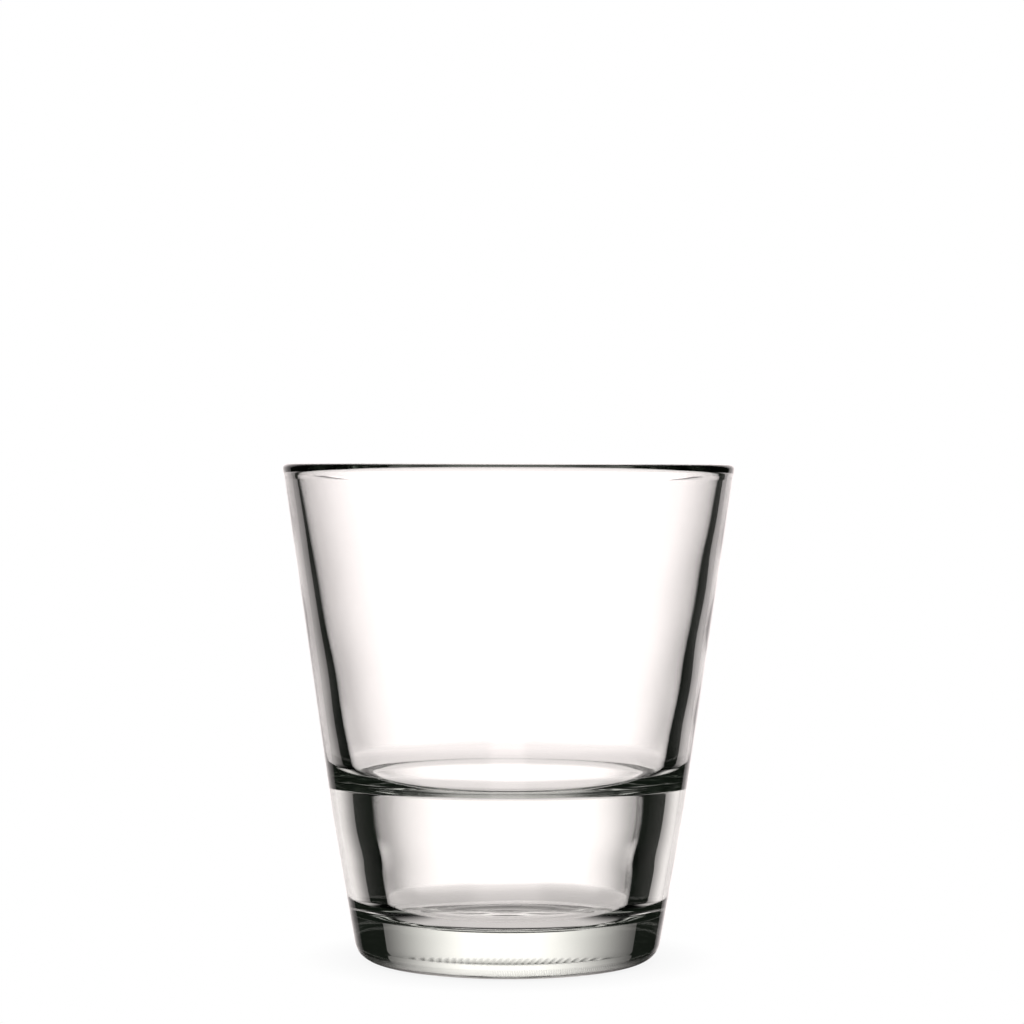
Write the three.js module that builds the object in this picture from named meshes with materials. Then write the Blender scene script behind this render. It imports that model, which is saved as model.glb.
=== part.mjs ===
// Stacking whisky tumbler, pressed in one piece from clear soda-lime glass.
// Millimetres, +Z up. The origin is the centre of the foot, on the plane that the glass stands on.
import * as THREE from "three";

// Overall size
const height = 93;
const rimDiameter = 84.8;

// Rim: fire polished, with a low bead that follows the outer wall and stands a little proud of it
const rimThickness = 2.4;
const rimRound = 1.2;
const beadHeight = 2.1;
const beadNeck = 0.7;
const beadRound = 0.8;
const beadProud = 0.15;

// Outer wall: hangs from the rim, with a slim taper down to the bend and a steeper one below it
const upperTaper = 0.144;
const bendHeight = 26;
const bendRound = 200;
const lowerTaper = 0.176;

// Foot: a rounded heel, a flat ring to stand on and a shallow punt inside the ring
const heelRound = 4;
const footRingWidth = 10.7;
const puntEdgeRound = 0.5;
const puntDepth = 1.4;

// Bowl: the drinking space, which sweeps in over a cove to the stacking ledge
const bowlTaper = 0.183;
const coveHeight = 2.1;
const coveLean = 0.754;
const coveRound = 8;
const ledgeHeight = 34.1;
const ledgeCornerRound = 1.2;

// Chamber: the narrower space below the ledge, with a near-straight neck, a drawn-in waist and a
// slimmer taper down to the dished floor
const ledgeWidth = 2.18;
const ledgeNoseRound = 1.5;
const neckDepth = 9.3;
const neckTaper = 0.085;
const waistDepth = 5.3;
const waistTaper = 0.2;
const waistRound = 50;
const chamberTaper = 0.157;
const floorHeight = 9.2;
const floorRound = 4.7;
const floorDish = 0.9;

// Facets
const sectors = 72;
const arcStep = THREE.MathUtils.degToRad(14);
const longestArcFacet = 5;
const capReach = 0.95;

// The section's corners, from the underside's centre round the outside, over the rim and down to
// the floor's centre. Each is a radius, a height and the round that softens it.
function sectionCorners() {
  const rimOuter = rimDiameter / 2;
  // The bead leans out, so its sharp corner lies a little beyond the rounded rim's widest point.
  const rimCorner = rimOuter + rimRound * (upperTaper + Math.hypot(1, upperTaper) - 1);
  const beadAt = (z) => rimCorner - upperTaper * (height - z);
  const outerWallAt = (z) => beadAt(z) - beadProud;
  const beadNeckHeight = height - beadHeight - beadNeck;
  const footRadius = outerWallAt(bendHeight) - lowerTaper * bendHeight;
  const puntRadius = footRadius - footRingWidth;

  const rimInner = rimOuter - rimThickness;
  const coveTop = ledgeHeight + coveHeight;
  const coveTopRadius = rimInner - bowlTaper * (height - coveTop);
  const ledgeOuter = coveTopRadius - coveLean * coveHeight;
  const ledgeInner = ledgeOuter - ledgeWidth;

  const waistTop = ledgeHeight - neckDepth;
  const waistTopRadius = ledgeInner - neckTaper * neckDepth;
  const waistFoot = waistTop - waistDepth;
  const waistFootRadius = waistTopRadius - waistTaper * waistDepth;
  const floorRadius = waistFootRadius - chamberTaper * (waistFoot - floorHeight);

  const puntEdge = { r: puntRadius, z: 0, round: puntEdgeRound };
  const floorEdge = { r: floorRadius, z: floorHeight, round: floorRound };

  return [
    shallowCap(puntEdge, puntDepth),
    puntEdge,
    { r: footRadius, z: 0, round: heelRound },
    { r: outerWallAt(bendHeight), z: bendHeight, round: bendRound },
    { r: outerWallAt(beadNeckHeight), z: beadNeckHeight, round: beadRound },
    { r: beadAt(height - beadHeight), z: height - beadHeight, round: beadRound },
    { r: rimCorner, z: height, round: rimRound },
    { r: rimInner, z: height, round: rimRound },
    { r: coveTopRadius, z: coveTop, round: coveRound },
    { r: ledgeOuter, z: ledgeHeight, round: ledgeCornerRound },
    { r: ledgeInner, z: ledgeHeight, round: ledgeNoseRound },
    { r: waistTopRadius, z: waistTop, round: waistRound },
    { r: waistFootRadius, z: waistFoot, round: waistRound },
    floorEdge,
    shallowCap(floorEdge, floorHeight - floorDish),
  ];
}

// A corner half way to where the edge's own round ends, with so wide a round that the surface from
// the axis outwards is one shallow curve: level at the axis and sloping at the edge.
function shallowCap(edge, middleHeight) {
  const reach = (edge.r - edge.round) / 2;
  const slope = Math.atan(Math.abs(middleHeight - edge.z) / (edge.r - reach));
  return { r: reach, z: middleHeight, round: (capReach * reach) / Math.tan(slope / 2) };
}

// Points of the arc that rounds one corner, tangent to the lines to its neighbours.
function roundedCorner(before, corner, after) {
  const here = new THREE.Vector2(corner.r, corner.z);
  const back = new THREE.Vector2(before.r, before.z).sub(here).normalize();
  const ahead = new THREE.Vector2(after.r, after.z).sub(here).normalize();
  const halfAngle = Math.acos(THREE.MathUtils.clamp(back.dot(ahead), -1, 1)) / 2;
  const toCentre = back.clone().add(ahead).normalize();
  const centre = here.clone().addScaledVector(toCentre, corner.round / Math.sin(halfAngle));
  const start = here.clone().addScaledVector(back, corner.round / Math.tan(halfAngle)).sub(centre);
  const turn = (Math.PI - 2 * halfAngle) * Math.sign(back.cross(ahead)) * -1;
  const arcLength = Math.abs(turn) * corner.round;
  const steps = Math.ceil(Math.max(Math.abs(turn) / arcStep, arcLength / longestArcFacet));
  return Array.from({ length: steps + 1 }, (_, i) =>
    start.clone().rotateAround(new THREE.Vector2(), (turn * i) / steps).add(centre),
  );
}

// Half of the glass's cross-section: radius along x, height along y.
function section() {
  const corners = sectionCorners();
  const underside = { r: 0, z: puntDepth };
  const floor = { r: 0, z: floorHeight - floorDish };
  const chain = [underside, ...corners, floor];
  const rounded = corners.flatMap((corner, i) => roundedCorner(chain[i], corner, chain[i + 2]));
  return [new THREE.Vector2(underside.r, underside.z), ...rounded, new THREE.Vector2(floor.r, floor.z)];
}

function tumbler() {
  const geometry = new THREE.LatheGeometry(section(), sectors);
  geometry.rotateX(Math.PI / 2);
  const clearGlass = new THREE.MeshStandardMaterial({
    color: 0xf2f5f2,
    roughness: 0.02,
    metalness: 0,
    transparent: true,
    opacity: 0.35,
  });
  const mesh = new THREE.Mesh(geometry, clearGlass);
  mesh.name = "tumbler";
  return mesh;
}

const glass = new THREE.Group();
glass.add(tumbler());

export default glass;
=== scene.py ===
import math

import bpy
import numpy as np
from mathutils import Matrix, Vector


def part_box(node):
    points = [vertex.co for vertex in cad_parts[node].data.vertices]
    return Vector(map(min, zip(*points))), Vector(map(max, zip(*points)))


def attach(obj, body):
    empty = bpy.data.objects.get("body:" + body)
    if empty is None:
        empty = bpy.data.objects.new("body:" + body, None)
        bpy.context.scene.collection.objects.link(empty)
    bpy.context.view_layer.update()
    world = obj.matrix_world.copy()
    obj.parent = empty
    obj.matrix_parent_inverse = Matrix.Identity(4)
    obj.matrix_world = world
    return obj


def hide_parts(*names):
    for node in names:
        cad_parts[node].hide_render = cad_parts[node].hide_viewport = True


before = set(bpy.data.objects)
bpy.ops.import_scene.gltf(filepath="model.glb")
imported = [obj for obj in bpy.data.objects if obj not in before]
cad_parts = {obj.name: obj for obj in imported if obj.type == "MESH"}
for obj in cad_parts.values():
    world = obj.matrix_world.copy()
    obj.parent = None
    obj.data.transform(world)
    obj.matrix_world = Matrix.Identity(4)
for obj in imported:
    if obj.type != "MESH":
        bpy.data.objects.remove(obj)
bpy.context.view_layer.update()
mm = 0.001
print("frame loaded:", sorted(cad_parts))


def linearColour(hexText, alpha=1.0):
    # sRGB hex to linear: the standard curve, straight near black and a power of 2.4 above it
    value = np.array([int(hexText[i:i + 2], 16) for i in (1, 3, 5)]) / 255
    linear = np.where(value <= 0.04045, value / 12.92, ((value + 0.055) / 1.055) ** 2.4)
    return (*linear.tolist(), alpha)


def addNode(tree, kind, settings=None, links=None):
    # settings: a property by its name, or an input by its name or place
    # links: an input to what feeds it, either a node's first output or the output given
    node = tree.nodes.new("ShaderNode" + kind)
    for key, value in (settings or {}).items():
        if isinstance(key, str) and hasattr(node, key):
            setattr(node, key, value)
        else:
            node.inputs[key].default_value = value
    for key, source in (links or {}).items():
        output = source.outputs[0] if hasattr(source, "outputs") else source
        tree.links.new(output, node.inputs[key])
    return node


def fade(span, ends=(0.0, 1.0), unit=1.0, shape="SMOOTHSTEP"):
    # settings of a change from the first end's value to the last one's, over the span
    return {"interpolation_type": shape, "From Min": span[0] * unit, "From Max": span[1] * unit,
            "To Min": ends[0], "To Max": ends[1]}


def emptyMaterial(name):
    material = bpy.data.materials.new(name)
    material.use_nodes = True
    material.node_tree.nodes.clear()
    return material


# Tumbler: one piece of pressed glass, a section turned about the upright axis

# Lengths in millimetres, and tapers as run over rise. The height and the rim's radius come from the frame.
tumblerSize = {
    "rimThickness": 2.4, "rimOuterRound": 0.9, "rimInnerRound": 1.79,
    "beadHeight": 2.1, "beadNeck": 0.7, "beadRound": 0.8, "beadProud": 0.104,
    "upperTaper": 0.144, "bendHeight": 26.0, "bendRound": 200.0, "lowerTaper": 0.176,
    "heelRound": 4.0, "footRingWidth": 10.7, "puntEdgeRound": 0.5, "puntDepth": 1.4,
    "bowlTaper": 0.183, "coveHeight": 2.1, "coveLean": 0.754, "coveRound": 8.0,
    "ledgeHeight": 34.1, "ledgeWidth": 2.18, "ledgeCornerRound": 1.2, "ledgeNoseRound": 1.5,
    "neckDepth": 9.3, "neckTaper": 0.085, "waistDepth": 5.3, "waistTaper": 0.2, "waistRound": 50.0,
    "chamberTaper": 0.157, "floorHeight": 9.2, "floorRound": 4.7, "floorDish": 0.9, "capReach": 0.95,
    "ringReach": 17.0, "ringPitch": 12.0, "ringCrest": 5.0, "ringDepth": 0.22, "ringFade": 3.0,
    "ringRows": 48,
    "ripple": 0.04, "rippleWaves": ((3, 26.0, 0.6), (5, -17.0, 2.2)),  # waves round, climb of each, phase
    "rippleSpans": ((40.0, 46.0, 78.0, 88.0), (14.0, 17.0, 28.0, 31.0)),  # heights: in, full, full, out
    "turns": 320, "longestStep": 2.0, "arcStep": 4.0,  # mesh: columns, and steps in millimetres and degrees
}


def shallowCap(edge, middleHeight, capReach):
    # a corner half way out to the end of the edge's round, rounded so widely that the cap is one curve
    reach = (edge[0] - edge[2]) / 2
    slope = math.atan(abs(middleHeight - edge[1]) / (edge[0] - reach))
    return reach, middleHeight, capReach * reach / math.tan(slope / 2)


def tumblerCorners(size):
    # the section's corners (radius, height, round): from the underside's centre, up outside and down inside
    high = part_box("tumbler")[1]
    height, rimOuter = high[2] / mm, high[0] / mm
    taper = size["upperTaper"]
    # the bead leans out, so its sharp corner lies beyond the round's widest point
    rimCorner = rimOuter + size["rimOuterRound"] * (taper + math.hypot(1, taper) - 1)

    def beadAt(z):
        return rimCorner - taper * (height - z)

    def outerWallAt(z):
        return beadAt(z) - size["beadProud"]

    beadNeckHeight = height - size["beadHeight"] - size["beadNeck"]
    footRadius = outerWallAt(size["bendHeight"]) - size["lowerTaper"] * size["bendHeight"]
    rimInner = rimOuter - size["rimThickness"]
    coveTop = size["ledgeHeight"] + size["coveHeight"]
    coveTopRadius = rimInner - size["bowlTaper"] * (height - coveTop)
    ledgeOuter = coveTopRadius - size["coveLean"] * size["coveHeight"]
    ledgeInner = ledgeOuter - size["ledgeWidth"]
    waistTop = size["ledgeHeight"] - size["neckDepth"]
    waistTopRadius = ledgeInner - size["neckTaper"] * size["neckDepth"]
    waistFoot = waistTop - size["waistDepth"]
    waistFootRadius = waistTopRadius - size["waistTaper"] * size["waistDepth"]
    floorRadius = waistFootRadius - size["chamberTaper"] * (waistFoot - size["floorHeight"])
    floorMiddle = size["floorHeight"] - size["floorDish"]
    puntEdge = (footRadius - size["footRingWidth"], 0, size["puntEdgeRound"])
    floorEdge = (floorRadius, size["floorHeight"], size["floorRound"])
    return np.array([
        (0, size["puntDepth"], 0),
        shallowCap(puntEdge, size["puntDepth"], size["capReach"]),
        puntEdge,
        (footRadius, 0, size["heelRound"]),
        (outerWallAt(size["bendHeight"]), size["bendHeight"], size["bendRound"]),
        (outerWallAt(beadNeckHeight), beadNeckHeight, size["beadRound"]),
        (beadAt(height - size["beadHeight"]), height - size["beadHeight"], size["beadRound"]),
        (rimCorner, height, size["rimOuterRound"]),
        (rimInner, height, size["rimInnerRound"]),
        (coveTopRadius, coveTop, size["coveRound"]),
        (ledgeOuter, size["ledgeHeight"], size["ledgeCornerRound"]),
        (ledgeInner, size["ledgeHeight"], size["ledgeNoseRound"]),
        (waistTopRadius, waistTop, size["waistRound"]),
        (waistFootRadius, waistFoot, size["waistRound"]),
        floorEdge,
        shallowCap(floorEdge, floorMiddle, size["capReach"]),
        (0, floorMiddle, 0),
    ])


def evenSteps(start, end, longestStep):
    # points strictly between two ends, no further apart than the longest step
    share = np.linspace(0, 1, math.ceil(np.linalg.norm(end - start) / longestStep) + 1)[1:-1, None]
    return start * (1 - share) + end * share


def roundedSection(corners, longestStep, arcStep):
    # each corner becomes the arc of its radius that touches both its lines; the lines are cut into even steps
    line = [corners[:1, :2]]
    for before, corner, after in zip(corners[:-2], corners[1:-1], corners[2:]):
        back, ahead = before[:2] - corner[:2], after[:2] - corner[:2]
        back, ahead = back / np.linalg.norm(back), ahead / np.linalg.norm(ahead)
        half = math.acos(np.clip(back @ ahead, -1, 1)) / 2
        inward = (back + ahead) / np.linalg.norm(back + ahead)
        centre = corner[:2] + inward * corner[2] / math.sin(half)
        spoke = corner[:2] + back * corner[2] / math.tan(half) - centre
        turn = (math.pi - 2 * half) * -np.sign(back[0] * ahead[1] - back[1] * ahead[0])
        steps = math.ceil(max(abs(math.degrees(turn)) / arcStep, abs(turn) * corner[2] / longestStep))
        angle = np.linspace(0, turn, steps + 1)[:, None]
        arc = centre + spoke * np.cos(angle) + np.array([-spoke[1], spoke[0]]) * np.sin(angle)
        line += [evenSteps(line[-1][-1], arc[0], longestStep), arc]
    line += [evenSteps(line[-1][-1], corners[-1, :2], longestStep), corners[-1:, :2]]
    return np.concatenate(line)


def ringedFloor(section, size):
    # shallow rings that the plunger leaves on the floor: the height gains a cosine of the radius from the
    # crest, let in over the middle and out again to the edge
    reach, soft = size["ringReach"], size["ringFade"]
    kept = len(section) - np.argmax(section[::-1, 0] > reach)
    radius = np.linspace(reach, 0, size["ringRows"])
    level = np.interp(radius, section[kept - 1:][::-1, 0], section[kept - 1:][::-1, 1])
    wave = np.cos(2 * np.pi * (radius - size["ringCrest"]) / size["ringPitch"])
    share = np.clip(radius / soft, 0, 1) ** 2 * np.clip((reach - radius) / soft, 0, 1)
    rings = np.stack([radius, level + size["ringDepth"] * wave * share], -1)
    return np.concatenate([section[:kept], rings])


def wallRipple(section, size):
    # slow waves that pressing leaves inside: the sum of two sine waves that climb the wall as they go round,
    # let in and out along the bowl and along the chamber, and nothing on the outside or at the rim
    ring = section[1:-1]
    inside = (np.arange(len(ring)) > np.argmax(ring[:, 1]))[:, None]
    z = ring[:, 1:]
    angle = np.arange(size["turns"]) * 2 * np.pi / size["turns"]
    wave = sum(np.sin(count * angle + 2 * np.pi * z / climb + phase)
               for count, climb, phase in size["rippleWaves"])
    share = sum(np.interp(z, span, (0, 1, 1, 0)) for span in size["rippleSpans"])
    return inside * size["ripple"] / 2 * wave * share


def turnedMesh(name, section, turns, ripple):
    # surface of revolution: (r, z) goes to (r cos a, r sin a, z) for each angle a, with the ripple added
    # to r; both ends close on the axis
    ring, count = section[1:-1], len(section) - 2
    angle = np.arange(turns) * 2 * np.pi / turns
    radius, height = ring[:, :1] + ripple, np.broadcast_to(ring[:, 1:], (count, turns))
    wall = np.stack([radius * np.cos(angle), radius * np.sin(angle), height], -1).reshape(-1, 3)
    poles = np.array([(0, 0, section[0, 1]), (0, 0, section[-1, 1])])
    row, here = np.arange(count - 1)[:, None] * turns, np.arange(turns)
    beside, last = (here + 1) % turns, (count - 1) * turns
    quads = np.stack([row + here, row + beside, row + turns + beside, row + turns + here], -1)
    under = np.stack([np.full(turns, count * turns), beside, here], -1)
    floor = np.stack([np.full(turns, count * turns + 1), last + here, last + beside], -1)
    faces = [*quads.reshape(-1, 4).tolist(), *under.tolist(), *floor.tolist()]
    mesh = bpy.data.meshes.new(name)
    mesh.from_pydata(np.concatenate([wall, poles]) * mm, [], faces)
    mesh.polygons.foreach_set("use_smooth", np.ones(len(mesh.polygons), bool))
    return mesh


plainSection = roundedSection(tumblerCorners(tumblerSize), tumblerSize["longestStep"], tumblerSize["arcStep"])
tumblerSection = ringedFloor(plainSection, tumblerSize)
tumblerMesh = turnedMesh("pressed_tumbler", tumblerSection, tumblerSize["turns"],
                         wallRipple(tumblerSection, tumblerSize))
tumbler = bpy.data.objects.new("pressed_tumbler", tumblerMesh)
bpy.context.scene.collection.objects.link(tumbler)
print("tumbler turned:", len(tumblerSection), "rows,", len(tumblerMesh.vertices), "points")


# Pressed soda-lime glass, fire polished: clear, with a faint green where it is thick

glassFinish = {  # lengths in millimetres; the tint's density is per metre, the slant in radians a millimetre
    "ior": 1.52, "depthTint": "#C0D5C2", "tintDensity": 8.0,
    "strokes": 400, "strokeSlant": 4.0, "strokeDepth": 0.007, "strokeHeight": 1.5,
    "strokeReach": (0.45, 0.9), "strokeRough": (0.22, 0.5), "heelFrom": 24.0,
}


def pressedGlass(finish):
    # smooth and clear, so that the eye sees the studio bent into dark and light bands; the strokes give it a
    # grainy grey line low in the base, and the absorption a green cast in the thickest glass
    material = emptyMaterial("pressed_soda_lime_glass")
    tree = material.node_tree
    # slanted strokes that the mould's knurling leaves: a sine of the angle and the height, coarser than life
    place = addNode(tree, "TexCoord")
    axis = addNode(tree, "SeparateXYZ", links={0: place.outputs["Object"]})
    angle = addNode(tree, "Math", {"operation": "ARCTAN2"}, {0: axis.outputs[1], 1: axis.outputs[0]})
    slant = addNode(tree, "Math", {"operation": "MULTIPLY", 1: finish["strokeSlant"] / mm},
                    {0: axis.outputs[2]})
    phase = addNode(tree, "Math", {"operation": "MULTIPLY_ADD", 1: float(finish["strokes"])},
                    {0: angle, 2: slant})
    stroke = addNode(tree, "Math", {"operation": "SINE"}, {0: phase})
    # kept to a band of heights, and to the heel rather than the punt
    above = addNode(tree, "Math", {"operation": "SUBTRACT", 1: finish["strokeHeight"] * mm},
                    {0: axis.outputs[2]})
    off = addNode(tree, "Math", {"operation": "ABSOLUTE"}, {0: above})
    band = addNode(tree, "MapRange", fade(finish["strokeReach"], (1.0, 0.0), mm), {"Value": off})
    away = addNode(tree, "VectorMath", {"operation": "LENGTH"}, {0: place.outputs["Object"]})
    heel = addNode(tree, "Math", {"operation": "GREATER_THAN", 1: finish["heelFrom"] * mm},
                   {0: away.outputs["Value"]})
    kept = addNode(tree, "Math", {"operation": "MULTIPLY"}, {0: band, 1: heel})
    knurl = addNode(tree, "Math", {"operation": "MULTIPLY"}, {0: stroke, 1: kept})
    bump = addNode(tree, "Bump", {"Strength": 1.0, "Distance": finish["strokeDepth"] * mm}, {"Height": knurl})
    matt = addNode(tree, "MapRange", {
        "From Min": -1.0, "To Min": finish["strokeRough"][0], "To Max": finish["strokeRough"][1]},
        {"Value": stroke})
    rough = addNode(tree, "Math", {"operation": "MULTIPLY"}, {0: matt, 1: kept})
    shader = addNode(tree, "BsdfPrincipled", {
        "Base Color": (1, 1, 1, 1), "IOR": finish["ior"], "Transmission Weight": 1.0},
        {"Roughness": rough, "Normal": bump})
    tint = addNode(tree, "VolumeAbsorption", {
        "Color": linearColour(finish["depthTint"]), "Density": finish["tintDensity"]})
    addNode(tree, "OutputMaterial", links={"Surface": shader, "Volume": tint})
    return material


tumblerMesh.materials.append(pressedGlass(glassFinish))
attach(tumbler, "root")
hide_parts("tumbler")
print("glass applied")


# Camera: level with the rim and tipped down a little

cameraPlace = {  # millimetres and degrees
    "across": 0.66, "away": 590.0, "up": 93.9, "tip": 0.963, "roll": 0.1375,
    "lens": 110.25, "sensor": 36.0, "nearest": 10.0,
}

camera = bpy.data.objects.new("camera", bpy.data.cameras.new("camera"))
bpy.context.scene.collection.objects.link(camera)
bpy.context.scene.camera = camera
camera.data.sensor_width = cameraPlace["sensor"]
camera.data.lens = cameraPlace["lens"]
camera.data.clip_start = cameraPlace["nearest"] * mm
camera.matrix_world = (
    Matrix.Translation((cameraPlace["across"] * mm, -cameraPlace["away"] * mm, cameraPlace["up"] * mm))
    @ Matrix.Rotation(math.radians(90 - cameraPlace["tip"]), 4, "X")
    @ Matrix.Rotation(math.radians(cameraPlace["roll"]), 4, "Z"))
print("camera set")


# Studio: a lit white backdrop that fades to the sides, a polished pale table with painted light and shade,
# and a dark room. The backdrop stays with the camera, so the glass is lit from behind at whatever side it is
# seen from.

studio = {  # millimetres and degrees; a level of 1 is white; a ghost is (turns at full light, share left)
    "backdropAway": 1200.0, "backdropTurn": 70.0, "backdropLow": -80.0, "backdropHigh": 80.0,
    "paper": "#FFF7F6", "hotSpot": 1.5, "fadeLeft": 19.0, "fadeRight": 17.5, "fadePeak": 1.6,
    "fullLevel": 1.42,
    "riseFade": (12.0, 50.0), "riseLevel": 0.02, "ghost": (2.0, 0.3),
    "roomDark": "#1A1D19", "leftFlag": (-266.0, 323.0), "rightFlag": (205.0, 285.0),
    "flagFront": -700.0, "flagHigh": 700.0, "flagLow": -300.0,
    "tableRadius": 1100.0, "tableGap": 0.03, "tableRoughness": 0.04, "grazing": (0.58, 0.82),
    # painted light and shade on the table: a lane of light, a shadow under the punt, shade and glow at the
    # foot, and the plain table's shade
    "laneHalf": 15.0, "laneEdge": 11.0, "laneSpread": 0.22, "laneReach": 120.0, "laneLevel": 1.0,
    "laneGhost": (4.0, 0.25), "puntShade": (14.5, 17.2), "puntLevel": 0.03,
    "footShade": (34.0, 72.0), "footLevel": 0.7, "footGlow": (42.0, 52.0), "glowBehind": (5.0, 18.0),
    "straight": (0.0, 0.0), "plainShade": (10.0, 150.0), "plainLevel": (0.55, 1.2),
    "plainGrazing": (0.74, 0.84),
    # painted contact shadow on the table's white: its reach, its depth and the occlusion samples
    "contactReach": 12.0, "contactShade": 0.12, "contactSamples": 16, "bounces": 24,
}


def stageMesh(name, vertices, faces, material):
    mesh = bpy.data.meshes.new(name)
    mesh.from_pydata(vertices, [], faces)
    mesh.materials.append(material)
    item = bpy.data.objects.new(name, mesh)
    bpy.context.scene.collection.objects.link(item)
    return item


def cameraSees(tree, plain, otherwise):
    # the camera itself sees the plain shader; what is seen in or through the glass is the other one
    path = addNode(tree, "LightPath")
    return addNode(tree, "MixShader", links={0: path.outputs["Is Camera Ray"], 1: otherwise, 2: plain})


def ghostShare(tree, after, share):
    # light that has turned more than so many times comes out weaker, which keeps the dark bands deep
    path = addNode(tree, "LightPath")
    return addNode(tree, "MapRange", {
        "From Min": after, "From Max": after + 1, "To Min": 1.0, "To Max": share},
        {"Value": path.outputs["Glossy Depth"]})


def litBackdrop(look):
    # white paper with a pool of light: full behind the glass, a bell curve to each side and a fade upwards,
    # so that the glass's walls shade from white to dark
    material = emptyMaterial("lit_white_paper")
    tree = material.node_tree
    place = addNode(tree, "TexCoord")
    axis = addNode(tree, "SeparateXYZ", links={0: place.outputs["Object"]})
    turn = addNode(tree, "Math", {"operation": "ARCTAN2"}, {0: axis.outputs[0], 1: axis.outputs[1]})
    aside = addNode(tree, "Math", {"operation": "SUBTRACT", 1: math.radians(look["hotSpot"])}, {0: turn})
    left = addNode(tree, "Math", {"operation": "DIVIDE", 1: -math.radians(look["fadeLeft"])}, {0: aside})
    right = addNode(tree, "Math", {"operation": "DIVIDE", 1: math.radians(look["fadeRight"])}, {0: aside})
    share = addNode(tree, "Math", {"operation": "MAXIMUM"}, {0: left, 1: right})
    square = addNode(tree, "Math", {"operation": "MULTIPLY"}, {0: share, 1: share})
    half = addNode(tree, "Math", {"operation": "MULTIPLY", 1: -0.5}, {0: square})
    bell = addNode(tree, "Math", {"operation": "EXPONENT"}, {0: half})
    level = addNode(tree, "Math", {"operation": "MULTIPLY", 1: look["fadePeak"]}, {0: bell})
    capped = addNode(tree, "Math", {"operation": "MINIMUM", 1: look["fullLevel"]}, {0: level})
    rise = [math.sin(math.radians(angle)) * look["backdropAway"] for angle in look["riseFade"]]
    risen = addNode(tree, "MapRange", fade(rise, (1.0, look["riseLevel"]), mm), {"Value": axis.outputs[2]})
    faded = addNode(tree, "Math", {"operation": "MULTIPLY"}, {0: capped, 1: risen})
    shone = addNode(tree, "Math", {"operation": "MULTIPLY"}, {0: faded, 1: ghostShare(tree, *look["ghost"])})
    paper = addNode(tree, "Emission", {"Color": linearColour(look["paper"])}, {"Strength": shone})
    white = addNode(tree, "Emission", {"Color": (1, 1, 1, 1)})
    addNode(tree, "OutputMaterial", links={"Surface": cameraSees(tree, white, paper)})
    return material


def paintedTableLight(tree, look, unturned):
    # painted light on the table where the view is steep: its emission stands in for how the table is lit.
    # Light that has turned in the glass finds a painted lane of light that widens behind it, with painted
    # shade near the foot, a painted shadow under the punt, painted dark to the sides and a painted glow
    # behind the foot.
    # Straight through the glass it is the plain pale table with painted shade towards the foot.
    place = addNode(tree, "TexCoord")
    axis = addNode(tree, "SeparateXYZ", links={0: place.outputs["Object"]})
    away = addNode(tree, "VectorMath", {"operation": "LENGTH"}, {0: place.outputs["Object"]}).outputs["Value"]
    aside = addNode(tree, "Math", {"operation": "ABSOLUTE"}, {0: axis.outputs[0]})
    behind = addNode(tree, "Clamp", {"Min": 0.0, "Max": look["laneReach"] * mm}, {0: axis.outputs[1]})
    spread = {"operation": "MULTIPLY_ADD", 1: look["laneSpread"]}
    half = addNode(tree, "Math", {**spread, 2: look["laneHalf"] * mm}, {0: behind})
    edge = addNode(tree, "Math", {**spread, 2: look["laneEdge"] * mm}, {0: behind})
    beyond = addNode(tree, "Math", {"operation": "SUBTRACT"}, {0: aside, 1: half})
    out = addNode(tree, "Math", {"operation": "DIVIDE"}, {0: beyond, 1: edge})
    lane = addNode(tree, "MapRange", fade((0.0, 1.0), (1.0, 0.0)), {"Value": out})
    punt = addNode(tree, "MapRange", fade(look["puntShade"], (look["puntLevel"], 1.0), mm), {"Value": away})
    levels = (look["footLevel"], look["laneLevel"])
    level = addNode(tree, "MapRange", fade(look["footShade"], levels, mm), {"Value": away})
    lit = addNode(tree, "Math", {"operation": "MULTIPLY"}, {0: lane, 1: punt})
    laid = addNode(tree, "Math", {"operation": "MULTIPLY"}, {0: lit, 1: level})
    disc = addNode(tree, "MapRange", fade(look["footGlow"], (look["footLevel"], 0.0), mm), {"Value": away})
    rear = addNode(tree, "MapRange", fade(look["glowBehind"], unit=mm), {"Value": axis.outputs[1]})
    glow = addNode(tree, "Math", {"operation": "MULTIPLY"}, {0: disc, 1: rear})
    both = addNode(tree, "Math", {"operation": "MAXIMUM"}, {0: laid, 1: glow})
    ghost = ghostShare(tree, *look["laneGhost"])
    turned = addNode(tree, "Math", {"operation": "MULTIPLY"}, {0: both, 1: ghost})
    shaded = fade(look["plainShade"], look["plainLevel"], mm, "LINEAR")
    plain = addNode(tree, "MapRange", shaded, {"Value": away})
    straight = addNode(tree, "Math", {"operation": "MULTIPLY"}, {0: plain, 1: unturned})
    strength = addNode(tree, "Math", {"operation": "MAXIMUM"}, {0: turned, 1: straight})
    # the painted light and shade leave the table as emission in the paper's colour
    return addNode(tree, "Emission", {"Color": linearColour(look["paper"])}, {"Strength": strength})


def mirrorShare(tree, look, unturned):
    # how much of the table's look is its mirror: more as the view grazes it, and straight through the glass
    # only at a lower view
    facing = addNode(tree, "LayerWeight", {"Blend": 0.5}).outputs["Facing"]
    grazing = addNode(tree, "MapRange", fade(look["grazing"]), {"Value": facing})
    lower = addNode(tree, "MapRange", fade(look["plainGrazing"]), {"Value": facing})
    turned = addNode(tree, "Math", {"operation": "SUBTRACT", 0: 1.0}, {1: unturned})
    either = addNode(tree, "Math", {"operation": "MAXIMUM"}, {0: lower, 1: turned})
    return addNode(tree, "Math", {"operation": "MINIMUM"}, {0: grazing, 1: either})


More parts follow.
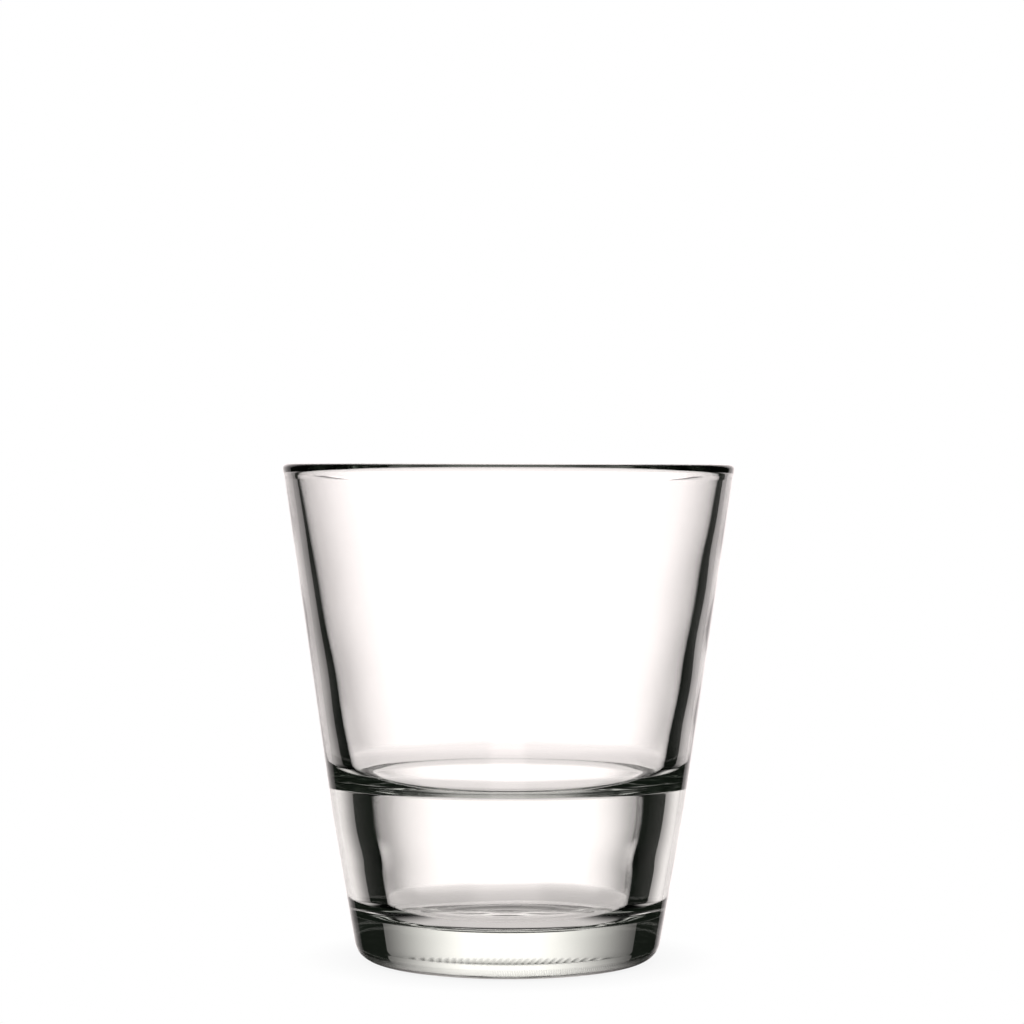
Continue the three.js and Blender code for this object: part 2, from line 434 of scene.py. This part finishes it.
def polishedTable(look):
    # glossy pale acrylic: plain white to the camera, with a painted soft contact shadow; seen through the
    # glass it mirrors the backdrop where the view grazes it and shows painted light and shade where the view
    # is steep
    material = emptyMaterial("polished_acrylic_painted_light")
    tree = material.node_tree
    # painted contact shadow: ambient occlusion darkens the white emission near the glass, and no lamp casts
    # it
    near = addNode(tree, "AmbientOcclusion", {
        "samples": look["contactSamples"], "Distance": look["contactReach"] * mm})
    shade = addNode(tree, "MapRange", {"To Min": 1 - look["contactShade"], "To Max": 1.0},
                    {"Value": near.outputs["AO"]})
    white = addNode(tree, "Emission", {"Color": (1, 1, 1, 1)}, {"Strength": shade})
    unturned = ghostShare(tree, *look["straight"])
    light = paintedTableLight(tree, look, unturned)
    gloss = addNode(tree, "BsdfGlossy", {"Color": (1, 1, 1, 1), "Roughness": look["tableRoughness"]})
    seen = addNode(tree, "MixShader", links={0: mirrorShare(tree, look, unturned), 1: light, 2: gloss})
    addNode(tree, "OutputMaterial", links={"Surface": cameraSees(tree, white, seen)})
    return material


def backdropSheet(look, columns=48, rows=24):
    # part of a sphere about the glass: turn and rise run along the grid, at one distance from the centre
    turn = np.radians(np.linspace(-look["backdropTurn"], look["backdropTurn"], columns + 1))
    rise = np.radians(np.linspace(look["backdropLow"], look["backdropHigh"], rows + 1))[:, None]
    away = look["backdropAway"] * mm
    grid = np.stack([away * np.cos(rise) * np.sin(turn), away * np.cos(rise) * np.cos(turn),
                     np.broadcast_to(away * np.sin(rise), (rows + 1, columns + 1))], -1).reshape(-1, 3)
    corner = (np.arange(rows)[:, None] * (columns + 1) + np.arange(columns)).reshape(-1, 1)
    faces = corner + np.array([0, columns + 1, columns + 2, 1])
    return stageMesh("backdrop", grid, faces.tolist(), litBackdrop(look))


def tableTop(look, sides=96):
    # one flat disc, a little inside the backdrop and a hair below the foot, so that the faces don't coincide
    angle, radius = np.arange(sides) * 2 * np.pi / sides, look["tableRadius"]
    edge = np.stack([radius * np.cos(angle), radius * np.sin(angle), np.full(sides, -look["tableGap"])], -1)
    return stageMesh("table", edge * mm, [list(range(sides))], polishedTable(look))


def sideFlag(name, place, look):
    # an upright black card that runs from beside the camera to a little behind the glass
    material = emptyMaterial("black_card")
    tree = material.node_tree
    card = addNode(tree, "Emission", {"Color": linearColour(look["roomDark"])})
    addNode(tree, "OutputMaterial", links={"Surface": card})
    across, back = place[0] * mm, place[1] * mm
    front, low, high = (look[key] * mm for key in ("flagFront", "flagLow", "flagHigh"))
    corners = [(across, front, low), (across, back, low), (across, back, high), (across, front, high)]
    flag = stageMesh(name, corners, [(0, 1, 2, 3)], material)
    flag.visible_camera = flag.visible_diffuse = flag.visible_shadow = False
    return flag


def darkRoom(look):
    # the room beyond the stage: dark to the glass and plain white to the camera
    world = bpy.data.worlds.new("dark_room")
    world.use_nodes = True
    world.node_tree.nodes.clear()
    bpy.context.scene.world = world
    tree = world.node_tree
    dark = addNode(tree, "Background", {"Color": linearColour(look["roomDark"])})
    white = addNode(tree, "Background", {"Color": (1, 1, 1, 1)})
    addNode(tree, "OutputWorld", links={"Surface": cameraSees(tree, white, dark)})


withCamera = [backdropSheet(studio), sideFlag("left_flag", studio["leftFlag"], studio),
              sideFlag("right_flag", studio["rightFlag"], studio)]
bpy.context.view_layer.update()
for item in withCamera:
    item.parent = camera
    item.matrix_parent_inverse = camera.matrix_world.inverted()
tableTop(studio)
darkRoom(studio)
bpy.context.scene.view_settings.view_transform = "Standard"
for kind in ("max_bounces", "glossy_bounces", "transmission_bounces"):
    setattr(bpy.context.scene.cycles, kind, studio["bounces"])
print("studio set")
